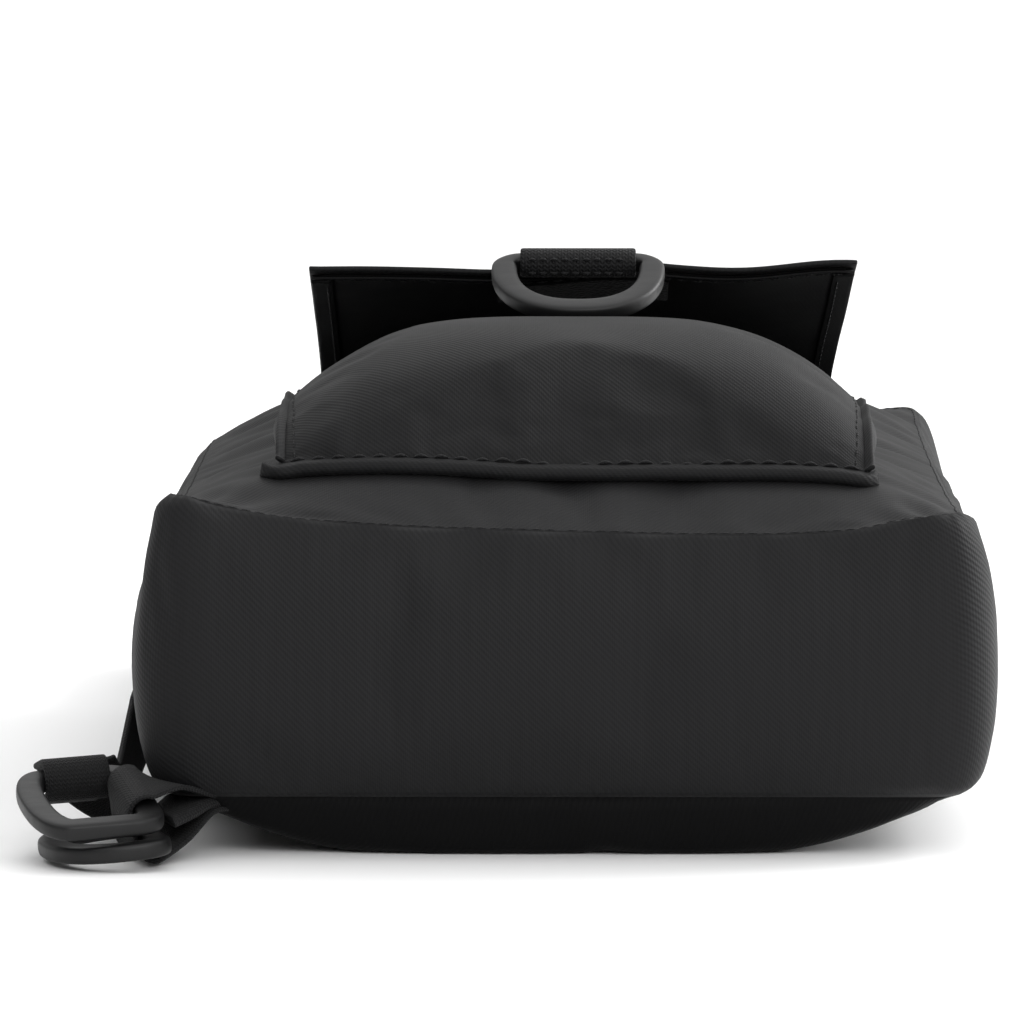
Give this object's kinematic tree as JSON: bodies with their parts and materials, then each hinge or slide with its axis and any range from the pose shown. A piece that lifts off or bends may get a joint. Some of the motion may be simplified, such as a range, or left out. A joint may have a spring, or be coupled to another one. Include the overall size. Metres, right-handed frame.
{
  "type": "sling bag",
  "caption": "Soft rectangular sling bag on its back: bellows front pocket, propped flap with a D-ring, zipped body, corner rings and a webbing strap with a shoulder pad.",
  "frame": {"origin": "on the ground, under the middle of the body, with the bag lying on its back panel", "axes": "+Y from the bag's bottom to its top, +Z from the back panel to the front pocket, +X to the right when looking along +Y"},
  "size_m": [0.211, 0.4162, 0.1247],
  "materials": {
    "twill": "coated twill nylon, faint sheen",
    "lining": "plain lining cloth",
    "air_mesh": "padded spacer mesh",
    "foam": "closed-cell foam",
    "board": "stiffening board",
    "webbing": "ribbed webbing",
    "plastic": "satin moulded plastic",
    "zip_tape": "woven zip tape and nylon coil",
    "slider_metal": "black painted die-cast metal",
    "hook_and_loop": "hook-and-loop tape"
  },
  "bodies": {
    "bag": {"front_panel": "twill", "back_panel": "air_mesh", "back_lining": "lining", "back_foam": "foam", "bottom_gusset": "twill", "gusset_back_strip": "twill", "gusset_front_strip": "twill", "base_board": "board", "inner_slip_pocket": "lining", "main_zip_tape": "zip_tape", "main_zip_coil": "zip_tape", "pocket_front": "twill", "pocket_side_left": "twill", "pocket_side_right": "twill", "pocket_hem": "twill", "pocket_mouth_binding": "webbing", "pocket_loop_tape": "hook_and_loop", "flap_seam_strip": "twill", "corner_tab": "webbing", "strap_anchor": "air_mesh"},
    "flap": {"flap_shell": "twill", "flap_lining": "lining", "flap_hook_tape": "hook_and_loop", "flap_tab": "webbing"},
    "flap_ring": {"flap_d_ring": "plastic"},
    "slider_left": {"zip_slider_left": "slider_metal"},
    "slider_right": {"zip_slider_right": "slider_metal"},
    "pull_left": {"zip_pull_left": "plastic"},
    "pull_right": {"zip_pull_right": "plastic"},
    "ring_lower": {"corner_ring_lower": "plastic"},
    "ring_upper": {"corner_ring_upper": "plastic"},
    "strap": {"strap_webbing": "webbing"},
    "adjuster": {"strap_adjuster": "plastic"},
    "pad": {"shoulder_pad": "air_mesh"}
  },
  "joints": [
    {"name": "flap_fold", "type": "hinge", "parent": "bag", "child": "flap", "pos_m": [0.004, 0.1, 0.0855], "axis": [-1, 0, 0], "range_deg": [0, 150]},
    {"name": "flap_ring_turn", "type": "hinge", "parent": "flap", "child": "flap_ring", "pos_m": [0.004, -0.0085, 0.1202], "axis": [-1, 0, 0], "range_deg": [0, 150]},
    {"name": "slider_left_travel", "type": "slide", "parent": "bag", "child": "slider_left", "axis": [-1, 0, 0], "range_m": [0, 0.045]},
    {"name": "slider_right_travel", "type": "slide", "parent": "bag", "child": "slider_right", "axis": [1, 0, 0], "range_m": [0, 0.045]},
    {"name": "pull_left_swing", "type": "hinge", "parent": "slider_left", "child": "pull_left", "pos_m": [-0.009, 0.1498, 0.042], "axis": [1, 0, 0], "range_deg": [0, 90]},
    {"name": "pull_right_swing", "type": "hinge", "parent": "slider_right", "child": "pull_right", "pos_m": [0.009, 0.1498, 0.042], "axis": [1, 0, 0], "range_deg": [0, 90]},
    {"name": "lower_ring_turn", "type": "hinge", "parent": "bag", "child": "ring_lower", "pos_m": [-0.091, -0.146, 0.0049], "axis": [0.2588, -0.9659, 0], "range_deg": [0, 80]},
    {"name": "upper_ring_turn", "type": "hinge", "parent": "bag", "child": "ring_upper", "pos_m": [-0.0925, -0.1454, 0.0132], "axis": [-0.2541, 0.9482, 0.1908], "range_deg": [0, 4]},
    {"name": "strap_lift", "type": "hinge", "parent": "ring_upper", "child": "strap", "pos_m": [-0.10698, -0.13189, 0.0159], "axis": [0.9672, 0.2488, 0.0514], "range_deg": [0, 35]},
    {"name": "adjuster_travel", "type": "slide", "parent": "strap", "child": "adjuster", "axis": [0, 1, 0], "range_m": [0, 0.1]},
    {"name": "pad_lift", "type": "hinge", "parent": "bag", "child": "pad", "pos_m": [0, 0.1498, 0.0145], "axis": [1, 0, 0], "range_deg": [0, 30]}
  ]
}
